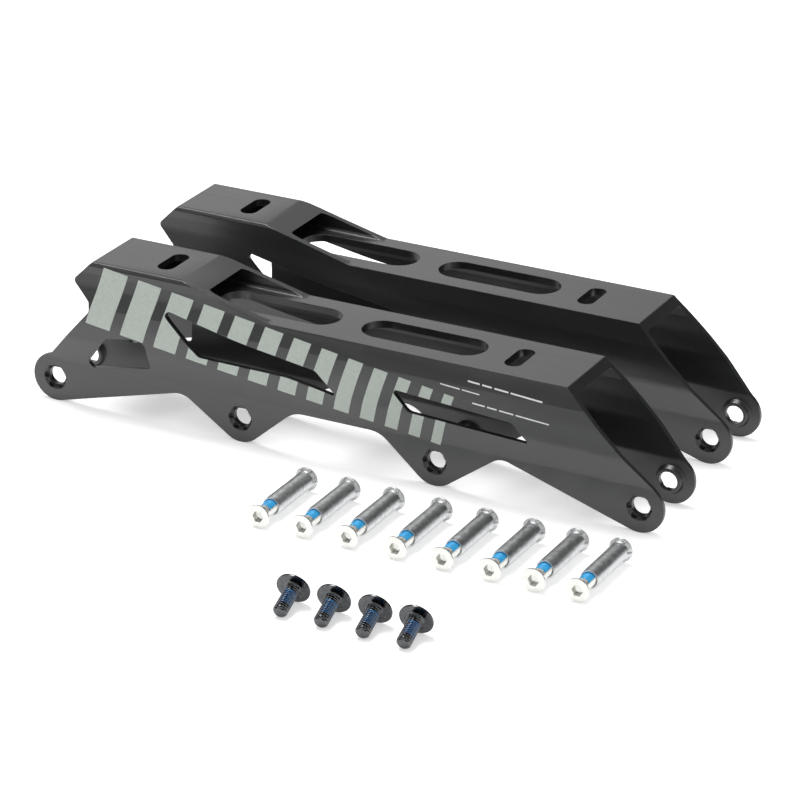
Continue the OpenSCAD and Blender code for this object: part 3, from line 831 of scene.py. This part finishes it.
# %% Mounting bolt
WIDE_R, WIDE_H, WIDE_RIM, SHORT_LEN, PLAIN_TIP = 7.1, 2.6, 0.9, 14.0, 1.0
DOME_FROM, DOME_TO, DOME_STEPS, DOME_CUT = HEX_R + 0.6, WIDE_R - 0.3, 7, 0.1
NECK = 0.25

# The hex socket, the domed face, the rim, and the washer face with a shallow groove round the shank.
wide_rings = [(-WIDE_H + 2.3, 0), (-WIDE_H + 1.85, HEX_R * 0.7, 0.6), (-WIDE_H + 1.8, HEX_R * 0.96, 1),
              (-WIDE_H + 1.6, HEX_R, 1), (-WIDE_H + 0.5, HEX_R, 1), (-WIDE_H + 0.22, HEX_R + 0.12, 0.6),
              (-WIDE_H + 0.16, HEX_R + 0.4, 0.1), (-WIDE_H + 0.22, DOME_FROM)]
for i in range(1, DOME_STEPS + 1):
    r = DOME_FROM + (DOME_TO - DOME_FROM) * i / DOME_STEPS
    wide_rings.append((-WIDE_H + DOME_CUT + (WIDE_H - WIDE_RIM - DOME_CUT) * (r / WIDE_R) ** 2, r))
wide_rings += rounded(-WIDE_RIM, WIDE_R, -0.1, -0.25, 0.25, 0)
wide_rings += rounded(0, WIDE_R, -0.25, 0, 0, -0.25)
wide_rings += [(0, 4.7), (-0.12, 4.55), (-0.12, 3.5), (0, THREAD_R + 0.2), (NECK, THREAD_R)]
tip_rings = [(SHORT_LEN - PLAIN_TIP, THREAD_R), (SHORT_LEN - 0.7, THREAD_R - 0.06),
             (SHORT_LEN - 0.35, THREAD_R - 0.35), (SHORT_LEN, THREAD_R - 0.7), (SHORT_LEN, 0)]
mount_bolt_mesh = threaded("mounting_bolt", wide_rings, tip_rings, NECK, SHORT_LEN - PLAIN_TIP - NECK, oxide)
mount_patch_mesh = patch_mesh("mounting_patch", 3.4, 6.8, 55.0, 135.0, -0.045, 0.5, bolt_nylon)
print("mounting bolt faces:", len(mount_bolt_mesh.polygons))

# %% [markdown]
# ## Laying the hardware out
#
# Every piece is drawn once, round z, and a copy of its mesh is turned and moved to where the solid of the
# same name lies. The place goes into the mesh and the object stays at the origin, as the solids do.

# %% Place the hardware
METAL_SMOOTH, NYLON_SMOOTH = 30, 60
AXLES, MOUNTING_BOLTS = 8, 4


def lay(mesh, name, turn, place, body, node, sharp=METAL_SMOOTH):
    """A copy of the mesh, turned, put in its place, and riding on its body in the node's stead."""
    copy = mesh.copy()
    copy.transform(Matrix.Translation(place) @ turn)
    obj = bpy.data.objects.new(name, copy)
    bpy.context.scene.collection.objects.link(obj)
    smooth_by_angle(obj, sharp)
    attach(obj, body)
    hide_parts(node)


def seat_of(mesh, turn, node):
    """Where the mesh's own origin goes, so that the turned mesh fills the middle of the node's box."""
    low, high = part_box(node)
    points = [turn @ v.co for v in mesh.vertices]
    middle = [(min(p[i] for p in points) + max(p[i] for p in points)) / 2 for i in range(3)]
    return (low + high) / 2 - Vector(middle)


LYING = Matrix.Rotation(radians(-90), 4, "X")
for i in range(1, AXLES + 1):
    bolt, barrel = f"axle_bolt_{i}", f"axle_barrel_{i}"
    seat = seat_of(axle_bolt_mesh, LYING, bolt)
    lay(axle_bolt_mesh, f"axle_bolt_dressed_{i}", LYING, seat, bolt, bolt)
    lay(axle_patch_mesh, f"axle_patch_dressed_{i}", LYING, seat, bolt, f"axle_thread_lock_{i}",
        NYLON_SMOOTH)
    lay(barrel_mesh, f"axle_barrel_dressed_{i}", LYING, seat_of(barrel_mesh, LYING, barrel), barrel, barrel)

BOLT_TILT, BOLT_TURN = 17.134, 5.5
TILTED = Matrix.Rotation(radians(BOLT_TURN), 4, "Z") @ Matrix.Rotation(radians(90 + BOLT_TILT), 4, "X")
for i in range(1, MOUNTING_BOLTS + 1):
    seat = seat_of(mount_bolt_mesh, TILTED, f"mounting_bolt_{i}")
    lay(mount_bolt_mesh, f"mounting_bolt_dressed_{i}", TILTED, seat, "frames_and_bolts", f"mounting_bolt_{i}")
    lay(mount_patch_mesh, f"mounting_patch_dressed_{i}", TILTED, seat, "frames_and_bolts",
        f"mounting_thread_lock_{i}", NYLON_SMOOTH)
print("pieces laid out:", AXLES * 3 + MOUNTING_BOLTS * 2)

# %% [markdown]
# ## Compare the sizes
#
# The dressed set must fill the same box as the solids. Both boxes are written out as plain numbers.

# %% Sizes
dressed_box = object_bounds()
for name, (low, high) in (("solids", solid_box), ("dressed", dressed_box)):
    print(name, [round((b - a) / MM, 2) for a, b in zip(low, high)], "mm")
